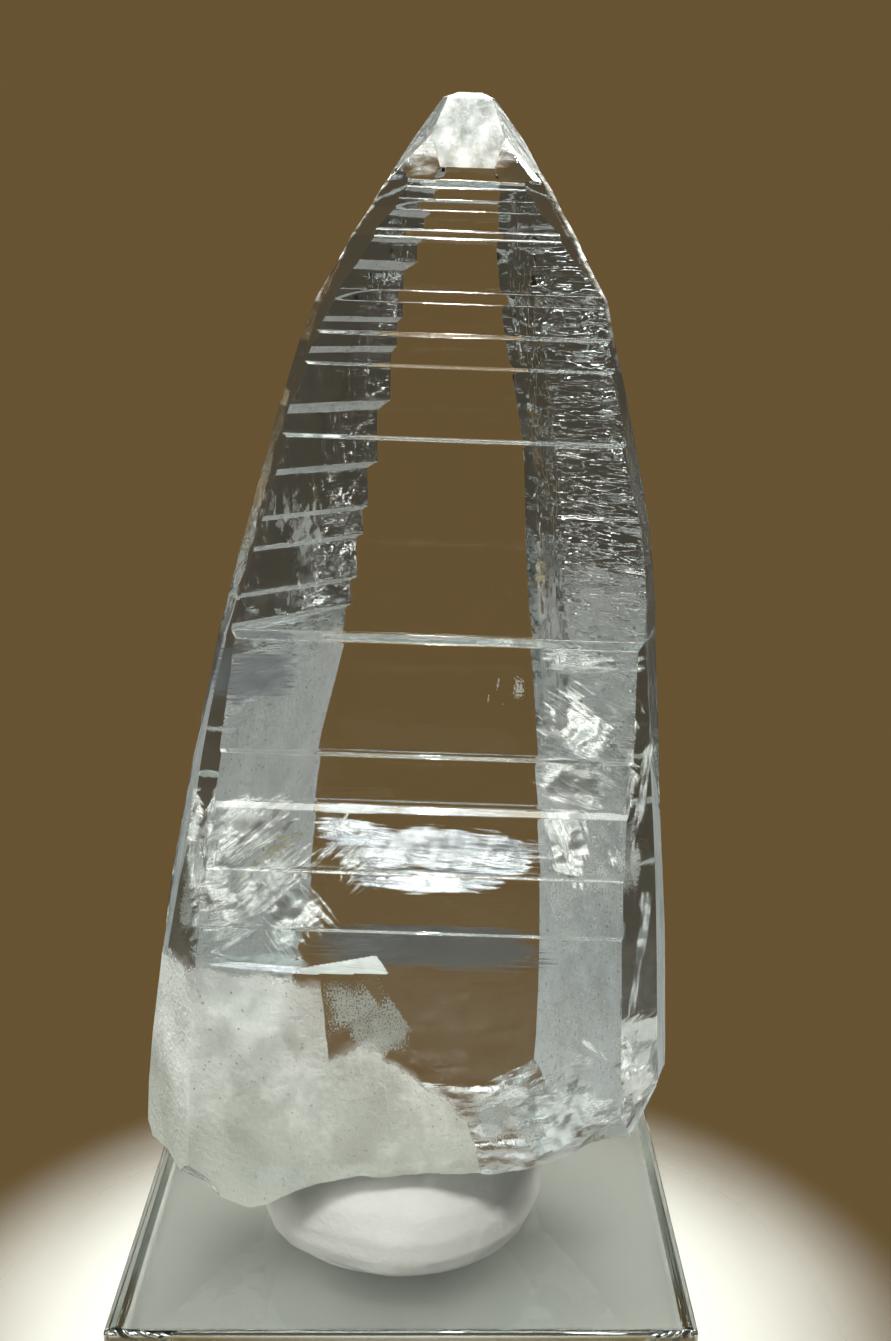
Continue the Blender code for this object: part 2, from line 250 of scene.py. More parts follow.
def putty_material():
    material, net, shader = new_material("putty_white")
    blotches = remapped(net, object_noise(net, 70.0, 4.0, 0.6), 0.45, 0.75)
    fine = object_noise(net, 900.0, 3.0, 0.6)
    coarse = bump(net, object_noise(net, 210.0, 3.0, 0.55), 0.00028)
    feed(
        net, shader, Base_Color=blended(net, blotches, PUTTY_PALE, PUTTY_GREY), Roughness=0.72,
        Normal=bump(net, fine, 0.00008, under=coarse),
    )
    return material


CRYSTAL_LEAN = math.radians(2.0)
CRYSTAL_FOOT = (0.002, -0.011, 0.040)

putty_white = putty_material()
block_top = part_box("display_block")[1].z
bm = bmesh.new()
outline = [bm.verts.new((radius * MM, 0.0, height * MM)) for radius, height in PUTTY_OUTLINE_MM]
profile = [bm.edges.new(pair) for pair in zip(outline, outline[1:])]
bmesh.ops.subdivide_edges(bm, edges=profile[1:], cuts=4, smooth=0.0)
bmesh.ops.spin(
    bm, geom=bm.edges[:] + bm.verts[:], cent=(0, 0, 0), axis=(0, 0, 1), angle=2 * math.pi,
    steps=PUTTY_TURNS, use_merge=True,
)
bmesh.ops.remove_doubles(bm, verts=bm.verts, dist=1e-5)
bmesh.ops.recalc_face_normals(bm, faces=bm.faces)
for vert in bm.verts:
    if vert.co.z < PUTTY_FLAT_RIM:
        continue
    outward = Vector((vert.co.x, vert.co.y, 0.0)).normalized()
    vert.co += outward * PUTTY_DENT_DEPTH * noise.noise(vert.co / PUTTY_DENT_SPAN + Vector((5.0, 2.0, 0.0)))
    for span, depth in PUTTY_GRAIN:
        vert.co += outward * depth * noise.noise(vert.co / span)
bmesh.ops.translate(bm, vec=PUTTY_CENTRE + Vector((0, 0, block_top + CONTACT_GAP)), verts=bm.verts)
putty = new_piece("putty_pat", bm, [putty_white])
cut_away(putty, [foot_slab(-CONTACT_GAP, SLAB_TOP, putty_white)])
putty.data.shade_smooth()
putty.data.set_sharp_from_angle(angle=SHARP_ANGLE)
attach(putty, "root")
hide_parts("mounting_putty")


# ================================================================ the quartz crystal
# One crystal of clear rock crystal, about 184 mm tall, grown in tiers: the broad front face and the
# left rear face step in at narrow ledges, the rear side faces are crinkled, the point is blunt and
# frosted, and the foot is a fresh break. It leans two degrees and is held only by the putty.

ON_AXIS = Matrix.Translation(CRYSTAL_FOOT) @ Matrix.Rotation(CRYSTAL_LEAN, 4, "Y")
OFF_AXIS = ON_AXIS.inverted()

# The six prism faces, by the direction each looks in, anticlockwise from the front.
FACE_NAMES = ("front", "right_front", "right_rear", "rear", "left_rear", "left_front")
FIRST_FACE_ANGLE = math.radians(-90.0)
FACE_TURN = math.radians(60.0)
COLUMNS = {
    "front": 20, "right_front": 8, "right_rear": 52, "rear": 10, "left_rear": 34, "left_front": 8,
}

# Everything below is in millimetres along the crystal's axis and out from it.
LOFT_BOTTOM = -15.0
TIP_BASE = 168.3
CROWN_RISE = 0.9
CROWN_SHRINK = 0.5
ROW_HEIGHT = 0.55
LEAST_ROW_HEIGHT = 0.03
EVEN_ROWS_FROM = -8.0
EASED_CORNER = 0.16

# A growth tier keeps one distance from the axis up to its top, and then a ledge slopes in to the next:
# (distance, height of the tier's top, height that the ledge above it takes).
FRONT_TIERS = (
    (26.8, 46.0, 0.3), (26.3, 56.0, 0.3), (25.7, 66.4, 1.3), (24.7, 75.6, 0.4), (23.9, 94.4, 1.0),
    (21.8, 126.4, 0.5), (20.0, 137.6, 0.4), (18.6, 142.4, 0.4), (17.4, 147.4, 1.9), (15.9, 157.2, 1.4),
    (14.2, 161.5, 1.8), (12.7, 165.0, 1.3), (11.0, TIP_BASE, 0.0),
)
LEFT_REAR_TIERS = (
    (21.2, 94.8, 0.6), (20.4, 99.6, 0.8), (19.3, 107.2, 0.8), (18.2, 112.2, 0.8), (17.2, 119.5, 1.1),
    (15.6, 129.4, 1.6), (13.7, 139.0, 1.0), (12.9, 144.0, 0.8), (12.1, 152.4, 1.4), (10.2, 156.8, 1.0),
    (8.9, 161.0, 1.2), (7.4, 165.0, 1.0), (6.2, 167.0, 0.0),
)

# The other faces taper by vicinal growth: (height, distance from the axis).
LEFT_REAR_TAPER = (
    (LOFT_BOTTOM, 38.6), (8.4, 37.2), (19.6, 35.4), (29.7, 33.4), (40.9, 31.2), (51.0, 29.9),
    (62.8, 28.3), (71.5, 26.6), (82.0, 23.9), (90.0, 21.9),
)
RIGHT_FRONT_TAPER = (
    (LOFT_BOTTOM, 43.6), (18.0, 43.4), (38.0, 42.4), (57.0, 41.4), (88.0, 40.6), (101.0, 40.5),
    (108.0, 39.9), (114.0, 39.0), (126.6, 35.7), (137.5, 33.1), (142.0, 31.8), (148.6, 30.1),
    (154.0, 25.8), (158.2, 22.9), (162.6, 18.9), (165.0, 17.0),
)
RIGHT_REAR_TAPER = (
    (LOFT_BOTTOM, 34.6), (12.4, 33.7), (31.9, 32.4), (42.3, 31.5), (53.1, 29.9), (65.5, 27.7),
    (84.5, 24.8), (95.7, 22.5), (108.5, 20.8), (121.0, 19.4), (132.9, 17.4), (142.8, 15.3),
    (149.4, 14.4), (156.8, 13.5), (165.8, 13.0),
)
REAR_TAPER = (
    (LOFT_BOTTOM, 31.5), (1.5, 30.0), (22.0, 27.6), (44.2, 25.6), (45.2, 24.8), (57.4, 23.6),
    (58.4, 22.6), (66.6, 21.6), (67.8, 20.2), (89.2, 17.8), (90.4, 16.4), (125.0, 12.9), (157.0, 12.3),
    (158.0, 11.6), (164.0, 11.2),
)
LEFT_FRONT_TAPER = (
    (LOFT_BOTTOM, 46.9), (18.0, 46.6), (36.5, 45.9), (50.5, 44.8), (60.8, 43.1), (66.7, 42.3),
    (84.0, 40.3), (94.0, 39.2), (106.7, 36.2), (119.4, 33.1), (131.0, 30.4), (141.0, 26.6),
    (147.8, 23.1), (153.0, 19.8), (157.6, 17.3), (162.0, 13.7), (164.6, 12.0),
)

# The tiers of the left rear face die out over this width, into a smooth edge with the left front face.
LEFT_EDGE_FADE = 3.0
LEFT_EDGE_TAPER = LEFT_REAR_TAPER + (
    (99.3, 20.0), (105.9, 18.9), (112.4, 17.5), (118.9, 16.2), (125.4, 14.6), (133.0, 13.2),
    (147.7, 12.0), (155.5, 9.2), (164.7, 6.8),
)

# The faces of the point, as distances at its foot, halfway and at its blunt top.
TIP_HEIGHTS = (TIP_BASE, 173.4, 179.6)
TIP_DISTANCES = {
    "front": (11.0, 7.4, 3.0),
    "right_front": (14.6, 11.3, 7.3),
    "right_rear": (11.7, 9.8, 5.0),
    "rear": (10.0, 6.6, 2.5),
    "left_rear": (5.3, 3.4, 0.2),
    "left_front": (9.5, 6.1, 1.8),
}

# Two small facets cut the lower corners off the point's front face, down to the ledge at its foot.
TIP_CORNER_FACETS = (
    ((-2.8, -7.4, 173.4), (-1.2, -11.0, 168.3), (-2.3, -11.0, 166.3)),
    ((8.8, -7.4, 173.4), (7.3, -11.0, 168.3), (8.4, -11.0, 166.3)),
)
TIP_FACET_FLOOR = 166.3
TIP_CUTTER_HALF = 15.0
TIP_FACE_MATCH = 0.985

# Crinkled growth on the two rear side faces: the stretch that it covers, and its waves from broad to
# fine (depth, span across, span upright).
RELIEF_STRETCH = {"right_rear": (14.0, 162.0), "left_rear": (6.0, 94.0)}
RELIEF_WAVES = {
    "right_rear": ((0.10, 18.0, 3.4), (0.04, 9.0, 1.4)),
    "left_rear": ((0.12, 14.0, 6.0), (0.03, 8.0, 1.8)),
}
RELIEF_FADE = 10.0

# Shell-shaped flakes struck off edges and corners, in metres on the block's own axes: the place, the
# way it was struck from, the shell's radius and the flake's depth.
FLAKES = (
    ((-0.0365, -0.0378, 0.0400), (-0.50, -0.65, -0.55), 0.0140, 0.0024),
    ((0.0350, -0.0378, 0.0470), (0.40, -0.75, -0.55), 0.0130, 0.0030),
    ((0.0468, -0.0215, 0.0500), (0.90, -0.15, -0.45), 0.0120, 0.0020),
    ((-0.0482, -0.0190, 0.0410), (-0.85, -0.10, -0.55), 0.0120, 0.0022),
    ((-0.0200, 0.0180, 0.0430), (-0.30, 0.80, -0.50), 0.0150, 0.0028),
    ((0.0270, 0.0175, 0.0430), (0.40, 0.80, -0.45), 0.0140, 0.0024),
)
FLAKE_ROUGHNESS = 0.035


def between(points, height):
    """The distance at a height, read along a list of (height, distance)."""
    if height <= points[0][0]:
        return points[0][1]
    for (low, start), (high, end) in zip(points, points[1:]):
        if height <= high:
            return start + (end - start) * (height - low) / (high - low)
    return points[-1][1]


def eased(points):
    """The same line with each corner rounded over a sixth of a millimetre, as growth leaves an edge."""
    line = [Vector(point) for point in points]
    rounded = [line[0]]
    for before, here, after in zip(line, line[1:], line[2:]):
        back, on = before - here, after - here
        cut = min(EASED_CORNER, 0.3 * back.length, 0.3 * on.length)
        start, end = here + back.normalized() * cut, here + on.normalized() * cut
        rounded += [start, (start + 2 * here + end) / 4, end]
    return [tuple(point) for point in rounded + [line[-1]]]


def tier_profile(tiers, below=()):
    """The tiers as (height, distance), above a taper where one is given."""
    points = list(below) or [(LOFT_BOTTOM, tiers[0][0])]
    for (distance, top, rise), (next_distance, _, _) in zip(tiers, tiers[1:]):
        points.append((top, distance))
        points.append((top + rise, next_distance))
    points.append((tiers[-1][1], tiers[-1][0]))
    return points


def face_profiles():
    """Each face's (height, distance) list, from the loft's bottom to the blunt top of the point.

    left_edge is not a face: it is where the left rear face would be if it had no tiers.
    """
    profiles = {
        "front": tier_profile(FRONT_TIERS),
        "right_front": list(RIGHT_FRONT_TAPER),
        "right_rear": list(RIGHT_REAR_TAPER),
        "rear": list(REAR_TAPER),
        "left_rear": tier_profile(LEFT_REAR_TIERS, LEFT_REAR_TAPER),
        "left_front": list(LEFT_FRONT_TAPER),
        "left_edge": list(LEFT_EDGE_TAPER),
    }
    for name, points in profiles.items():
        distances = TIP_DISTANCES["left_rear" if name == "left_edge" else name]
        points += [pair for pair in zip(TIP_HEIGHTS, distances) if pair[0] > points[-1][0]]
    for name in ("front", "left_rear"):
        profiles[name] = eased(profiles[name])
    return profiles


def face_normal(index):
    angle = FIRST_FACE_ANGLE + FACE_TURN * index
    return Vector((math.cos(angle), math.sin(angle)))


def corner(index, profiles, height, smooth_left_edge=False):
    """Where a face meets the next one anticlockwise, at a height."""
    one, two = index % 6, (index + 1) % 6
    n1, n2 = face_normal(one), face_normal(two)
    first = "left_edge" if smooth_left_edge else FACE_NAMES[one]
    d1 = between(profiles[first], height)
    d2 = between(profiles[FACE_NAMES[two]], height)
    cross = n1.x * n2.y - n1.y * n2.x
    return Vector(((d1 * n2.y - d2 * n1.y) / cross, (d2 * n1.x - d1 * n2.x) / cross))


def relief_depth(name, along, width, height):
    """How far the crinkled growth stands out of a face, in millimetres."""
    if name not in RELIEF_STRETCH:
        return 0.0
    lowest, highest = RELIEF_STRETCH[name]
    fade = min(height - lowest, highest - height) / RELIEF_FADE
    if fade <= 0.0:
        return 0.0
    fade = min(fade, 1.0) * min(1.0, along / 1.0, (width - along) / 1.0)
    place = 3.7
    stand = 0.0
    for depth, across_span, upright_span in RELIEF_WAVES[name]:
        stand += depth * noise.noise(Vector((along / across_span, height / upright_span, place)))
        place += 5.1
    return stand * fade


# Etched frost: the point above its foot, thin strips down both side edges, and the rear side faces low
# down. Each pair is the height, or the distance from an edge, where it starts and where it is full.
FROST_DEPTHS = {"tip": 0.62, "edges": 0.5, "right_rear": 0.92, "left_rear": 0.88, "ledges": 0.85}
FROST_TIP = (168.0, 169.2)
FROST_LEFT_EDGE = (146.0, 150.0)
FROST_RIGHT_EDGE = (134.0, 146.0)
FROST_EDGE_WIDTH = (2.4, 1.0)
FROST_LEFT_REAR = (97.0, 88.0)
FROST_LEFT_REAR_WIDTH = (22.0, 4.0)
FROST_LEFT_WIDENS = (88.0, 74.0, 26.0)
FROST_RIGHT_REAR = (84.0, 60.0)
LEDGE_SLOPE = 24.0
# The left rear face is streaked between these heights, to 0.6 of the right rear face's crinkles.
STREAKED_LEFT_REAR = (76.0, 94.5)
STREAKED_FROM_REAR = (11.0, 17.0)
STREAK_FADES = (6.0, 1.0)
STREAK_DEPTH = 0.6
CRINKLE_LOST_IN_FROST = 0.85
# The smooth strip beside the rear edge of the crinkled face, and the upright wiggly strip next to it.
SMOOTH_STRIP = (3.2, 5.0)
WIGGLY_STRIP = (9.5, 12.0)
# Slopes of the front face, in degrees, that are grainy: the rounded edges and the steeper ledges.
GRAINY_SLOPES = ((6.0, 33.0), (56.0, 82.0))


def ramp(value, start, end):
    return min(max((value - start) / (end - start), 0.0), 1.0)


def skin_marks(name, flat, height):
    """How crinkled, how wiggly and how frosted a face is at a point of it, each from 0 to 1."""
    crinkle = wiggle = 0.0
    frost = FROST_DEPTHS["tip"] * ramp(height, *FROST_TIP)
    index = FACE_NAMES.index(name)
    for side, at_corner, heights in (("left", 4, FROST_LEFT_EDGE), ("right", 1, FROST_RIGHT_EDGE)):
        if name.startswith(side):
            edge = (flat - corner(at_corner, PROFILES, height)).length
            etched = ramp(height, *heights) * ramp(edge, *FROST_EDGE_WIDTH)
            frost = max(frost, FROST_DEPTHS["edges"] * etched)
    if name == "right_rear":
        lowest, highest = RELIEF_STRETCH[name]
        from_rear = (flat - corner(index, PROFILES, height)).length
        crinkle = ramp(height, lowest, lowest + RELIEF_FADE) * ramp(height, highest, highest - RELIEF_FADE)
        lower = ramp(height, *FROST_RIGHT_REAR)
        crinkle *= 1.0 - CRINKLE_LOST_IN_FROST * lower
        wiggle = crinkle * ramp(from_rear, *SMOOTH_STRIP) * ramp(from_rear, *reversed(WIGGLY_STRIP))
        crinkle *= ramp(from_rear, *WIGGLY_STRIP)
        frost = max(frost, FROST_DEPTHS[name] * lower)
    if name == "left_rear":
        from_rear = (flat - corner(index - 1, PROFILES, height)).length
        start, end, wider = FROST_LEFT_WIDENS
        width = [reach + wider * ramp(height, start, end) for reach in FROST_LEFT_REAR_WIDTH]
        frost = max(frost, FROST_DEPTHS[name] * ramp(height, *FROST_LEFT_REAR) * ramp(from_rear, *width))
        lowest, highest = STREAKED_LEFT_REAR
        below, above = STREAK_FADES
        streaked = ramp(height, lowest, lowest + below) * ramp(height, highest, highest - above)
        crinkle = STREAK_DEPTH * streaked * ramp(from_rear, *STREAKED_FROM_REAR)
    return crinkle, wiggle, frost


def face_depths(place):
    """How deep a place (u, v, w) lies below each face, in millimetres."""
    flat = Vector((place.x, place.y))
    return [
        between(PROFILES[name], place.z) - flat.dot(face_normal(index))
        for index, name in enumerate(FACE_NAMES)
    ]


def mark_skin(mesh):
    """Stores the skin's marks on every corner, so that they end at the crystal's edges; names each face."""
    marks = {name: [0.0] * len(mesh.loops) for name in ("crinkled", "wiggly", "frost", "grainy")}
    names = []
    turned = OFF_AXIS.to_3x3()
    places = [OFF_AXIS @ vert.co / MM for vert in mesh.vertices]
    known = {}
    for face in mesh.polygons:
        middle, normal = OFF_AXIS @ face.center / MM, turned @ face.normal
        slope = math.degrees(math.atan2(normal.z, math.hypot(normal.x, normal.y)))
        depths = face_depths(middle)
        name = FACE_NAMES[depths.index(min(depths))]
        names.append(name)
        grainy = name == "front" and any(low < slope < high for low, high in GRAINY_SLOPES)
        for loop in face.loop_indices:
            number = mesh.loops[loop].vertex_index
            if (number, name) not in known:
                place = places[number]
                known[number, name] = skin_marks(name, Vector((place.x, place.y)), place.z)
            crinkle, wiggle, frost = known[number, name]
            if name == "left_rear" and slope > LEDGE_SLOPE:
                frost = max(frost, FROST_DEPTHS["ledges"])
            for values, value in zip(marks.values(), (crinkle, wiggle, frost, float(grainy))):
                values[loop] = value
    for name, values in marks.items():
        mesh.attributes.new(name, "FLOAT", "CORNER").data.foreach_set("value", values)
    return names


def section(profiles, height):
    """The crystal's outline at a height, with its relief, as points in millimetres."""
    outline = []
    for index, name in enumerate(FACE_NAMES):
        after_left_edge = name == "left_front"
        start = corner(index - 1, profiles, height, smooth_left_edge=after_left_edge)
        end = corner(index, profiles, height)
        normal = face_normal(index)
        width = (end - start).length
        reach = max(width - LEFT_EDGE_FADE, 0.6 * width) if name == "left_rear" else width
        steps = COLUMNS[name] - 1 if name == "left_rear" else COLUMNS[name]
        for column in range(COLUMNS[name]):
            along = reach * column / steps
            stand = relief_depth(name, along, width, height)
            point = start.lerp(end, along / width) + normal * stand
            outline.append(Vector((point.x, point.y, height)))
    return outline


def section_heights(profiles):
    """Every height where a face changes slope, and even rows between them for the relief."""
    marks = sorted({height for points in profiles.values() for height, _ in points})
    heights = [marks[0]]
    for mark in marks[1:]:
        gap = mark - heights[-1]
        if gap < LEAST_ROW_HEIGHT:
            continue
        rows = max(1, round(gap / ROW_HEIGHT)) if heights[-1] >= EVEN_ROWS_FROM else 1
        low = heights[-1]
        heights += [low + gap * row / rows for row in range(1, rows + 1)]
    return heights


PROFILES = face_profiles()


def grown_crystal():
    """The whole crystal before its foot is broken off, as a ring drawn up its axis row by row."""
    outlines = [section(PROFILES, height) for height in section_heights(PROFILES)]
    top = outlines[-1]
    middle = sum(top, Vector()) / len(top)
    outlines.append([middle.lerp(point, CROWN_SHRINK) + Vector((0, 0, CROWN_RISE)) for point in top])
    bm = bmesh.new()
    column = bm.verts.layers.int.new("column")
    ring = bmesh.ops.create_circle(bm, cap_ends=False, radius=1.0, segments=len(top))["verts"]
    for number, vert in enumerate(ring):
        vert[column] = number
        vert.co = outlines[0][number] * MM
    edges = bm.edges[:]
    bmesh.ops.edgeloop_fill(bm, edges=edges)
    for outline in outlines[1:]:
        grown = bmesh.ops.extrude_edge_only(bm, edges=edges)["geom"]
        verts = {item for item in grown if isinstance(item, bmesh.types.BMVert)}
        for vert in verts:
            vert.co = outline[vert[column]] * MM
        edges = [item for item in grown if isinstance(item, bmesh.types.BMEdge) and set(item.verts) <= verts]
    bmesh.ops.edgeloop_fill(bm, edges=edges)
    bmesh.ops.remove_doubles(bm, verts=bm.verts, dist=2e-6)
    bmesh.ops.dissolve_degenerate(bm, edges=bm.edges, dist=1e-6)
    bmesh.ops.recalc_face_normals(bm, faces=bm.faces)
    bmesh.ops.transform(bm, matrix=ON_AXIS, verts=bm.verts)
    return bm


def on_frosted_tip(normal):
    """Whether a face that looks this way is one of the three frosted front faces of the point."""
    run = TIP_HEIGHTS[1] - TIP_HEIGHTS[0]
    for name in ("left_front", "front", "right_front"):
        out = face_normal(FACE_NAMES.index(name))
        fall = TIP_DISTANCES[name][0] - TIP_DISTANCES[name][1]
        if normal.dot(Vector((out.x * run, out.y * run, fall)).normalized()) > TIP_FACE_MATCH:
            return True
    return False


def tip_facet_cutter(points, material):
    """What a corner facet takes off the point: everything outside it, above the ledge at its foot."""
    through, second, third = (Vector(point) * MM for point in points)
    outward = (second - through).cross(third - through).normalized()
    if outward.y > 0.0:
        outward = -outward
    half = TIP_CUTTER_HALF * MM
    bm = bmesh.new()
    bmesh.ops.create_cube(bm, size=2 * half)
    bmesh.ops.translate(bm, vec=(0.0, 0.0, TIP_FACET_FLOOR * MM + half), verts=bm.verts)
    halved = bmesh.ops.bisect_plane(
        bm, geom=bm.verts[:] + bm.edges[:] + bm.faces[:], dist=1e-7, plane_co=through,
        plane_no=outward, clear_inner=True,
    )
    rim = [item for item in halved["geom_cut"] if isinstance(item, bmesh.types.BMEdge)]
    bmesh.ops.holes_fill(bm, edges=rim)
    bmesh.ops.recalc_face_normals(bm, faces=bm.faces)
    bmesh.ops.transform(bm, matrix=ON_AXIS, verts=bm.verts)
    return new_piece("tip_facet_cutter", bm, [material])


def flake_cutter(number, place, struck_from, radius, depth, material):
    """A rough ball set so that it takes one shallow shell off the crystal at a place."""
    bm = bmesh.new()
    bmesh.ops.create_icosphere(bm, subdivisions=5, radius=radius)
    for vert in bm.verts:
        wave = noise.noise(vert.co / (0.35 * radius) + Vector((number, 0.0, 0.0)))
        vert.co *= 1.0 + FLAKE_ROUGHNESS * wave
    centre = Vector(place) + Vector(struck_from).normalized() * (radius - depth)
    bmesh.ops.translate(bm, vec=centre, verts=bm.verts)
    return new_piece("flake_cutter", bm, [material])


def maths(net, operation, first, second):
    """One Math node; each input is a socket or a number."""
    node = new_node(net, "Math")
    node.operation = operation
    for socket, value in zip(node.inputs, (first, second)):
        connect(net, socket, value)
    return node.outputs["Value"]


def terraced(net, value, steps, riser=0.3):
    """The value as flat terraces with soft narrow risers, the way growth layers end on a face."""
    scaled = maths(net, "MULTIPLY", value, steps)
    whole = maths(net, "FLOOR", scaled, 0.0)
    part = maths(net, "SUBTRACT", scaled, whole)
    part = remapped(net, part, 0.5 - riser / 2, 0.5 + riser / 2, smooth=True)
    return maths(net, "DIVIDE", maths(net, "ADD", whole, part), steps)


def attribute(net, name):
    node = new_node(net, "Attribute")
    node.attribute_name = name
    return node.outputs["Fac"]


def own_place(net):
    """The place on the piece, split into its X, Y and Z."""
    return new_node(net, "SeparateXYZ", Vector=new_node(net, "TexCoord").outputs["Object"]).outputs


QUARTZ_IOR = 1.544
WATER_CLEAR = (1.0, 1.0, 1.0)
QUARTZ_TINT = (0.95, 0.965, 0.97)
QUARTZ_DENSITY = 8.0
BREAK_WHITE = (0.78, 0.77, 0.72)
FROST_GREY = (0.60, 0.63, 0.62)
FROST_WHITE = (0.84, 0.86, 0.84)
# The grey of the point's side facets is painted shade.
FROST_SIDES_PAINTED_SHADE = (0.40, 0.42, 0.39)
MILK_GREY = (0.62, 0.64, 0.58)
MILK_WHITE = (0.97, 0.98, 0.95)
MILK_SPECK = (0.30, 0.30, 0.25)
DULL_ROUGHNESS = 0.52
FROSTED_ROUGHNESS = 0.38
GRAIN_ROUGHNESS = 0.05

# How deep the skin's fine marks are, in metres.
STRIA_DEPTH = 0.000012
CRINKLE_DEPTH = 0.0010
WIGGLE_DEPTH = 0.0012
GRAIN_DEPTH = 0.000015
PIT_DEPTH = 0.00025

# The milky root: its upper limit (x, z) in metres on the block's axes, read from left to right.
MILK_LIMIT = (
    (-0.050, 0.0830), (-0.0225, 0.0785), (-0.0132, 0.0770), (-0.0122, 0.0640), (-0.0094, 0.0656),
    (-0.0043, 0.0656), (0.0015, 0.0606), (0.0066, 0.0569), (0.0108, 0.0532), (0.0125, 0.0480),
    (0.0140, 0.0400), (0.050, 0.0390),
)
MILK_TOP = 0.087
MILK_FALL_TO_REAR = 0.35
MILK_LEAN = 0.09
MILK_FRONT = 0.038
MILK_SPREAD = 0.0014
MILK_RAGGED = 0.0012
# The milk is whiter high up by painted light from above and greyer low down by painted shade: the clouds
# that whiten it gain this much per metre of height.
MILK_PAINTED_LIGHT_RISE = 14.0
MILK_PAINTED_SHADE_AT_BOTTOM = 0.80


def milky_root(net):
    """1 in the milky root, 0 above its limit, with a ragged edge."""
    place = own_place(net)
    left, right = MILK_LIMIT[0][0], MILK_LIMIT[-1][0]
    top = max(z for _, z in MILK_LIMIT)
    limit = new_node(net, "FloatCurve")
    curve = limit.mapping.curves[0]
    stops = [((x - left) / (right - left), z / top) for x, z in MILK_LIMIT]
    while len(curve.points) < len(stops):
        curve.points.new(0.5, 0.5)
    for point, stop in zip(curve.points, stops):
        point.location = stop
        point.handle_type = "VECTOR"
    limit.mapping.update()
    behind = maths(net, "ADD", place["Y"], MILK_FRONT)
    across = maths(net, "ADD", place["X"], maths(net, "MULTIPLY", behind, MILK_LEAN))
    feed(net, limit, Value=remapped(net, across, left, right))
    height = maths(net, "MULTIPLY", limit.outputs["Value"], top)
    height = maths(net, "SUBTRACT", height, maths(net, "MULTIPLY", behind, MILK_FALL_TO_REAR))
    ragged = object_noise(net, 260.0, 4.0, 0.6)
    height = maths(net, "ADD", height, remapped(net, ragged, 0.3, 0.7, -MILK_RAGGED, MILK_RAGGED))
    above = maths(net, "SUBTRACT", place["Z"], height)
    return remapped(net, above, MILK_SPREAD, -MILK_SPREAD, smooth=True)


def crinkles(net, under):
    """The rear side faces' streaks, crumbly patches and upright wiggles, over the striae."""
    streaks = terraced(net, object_noise(net, 55.0, 2.5, 0.5, stretch=(1.0, 1.0, 12.0)), 9.0)
    crumbs = terraced(net, object_noise(net, 150.0, 2.0, 0.5, stretch=(1.0, 1.0, 3.0)), 6.0)
    patches = object_noise(net, 75.0, 2.0, 0.5, stretch=(1.0, 1.0, 1.4), place=(0.3, 0.1, 0.7))
    crumbly = remapped(net, patches, 0.52, 0.62, smooth=True)
    crumbs = maths(net, "MULTIPLY", maths(net, "SUBTRACT", crumbs, 0.5), crumbly)
    relief = maths(net, "MULTIPLY", maths(net, "ADD", streaks, crumbs), attribute(net, "crinkled"))
    crinkled = bump(net, relief, CRINKLE_DEPTH, under=under)
    wiggles = object_noise(net, 400.0, 2.0, 0.6, stretch=(1.0, 1.0, 0.35))
    wiggles = maths(net, "MULTIPLY", terraced(net, wiggles, 6.0), attribute(net, "wiggly"))
    return bump(net, wiggles, WIGGLE_DEPTH, under=crinkled)


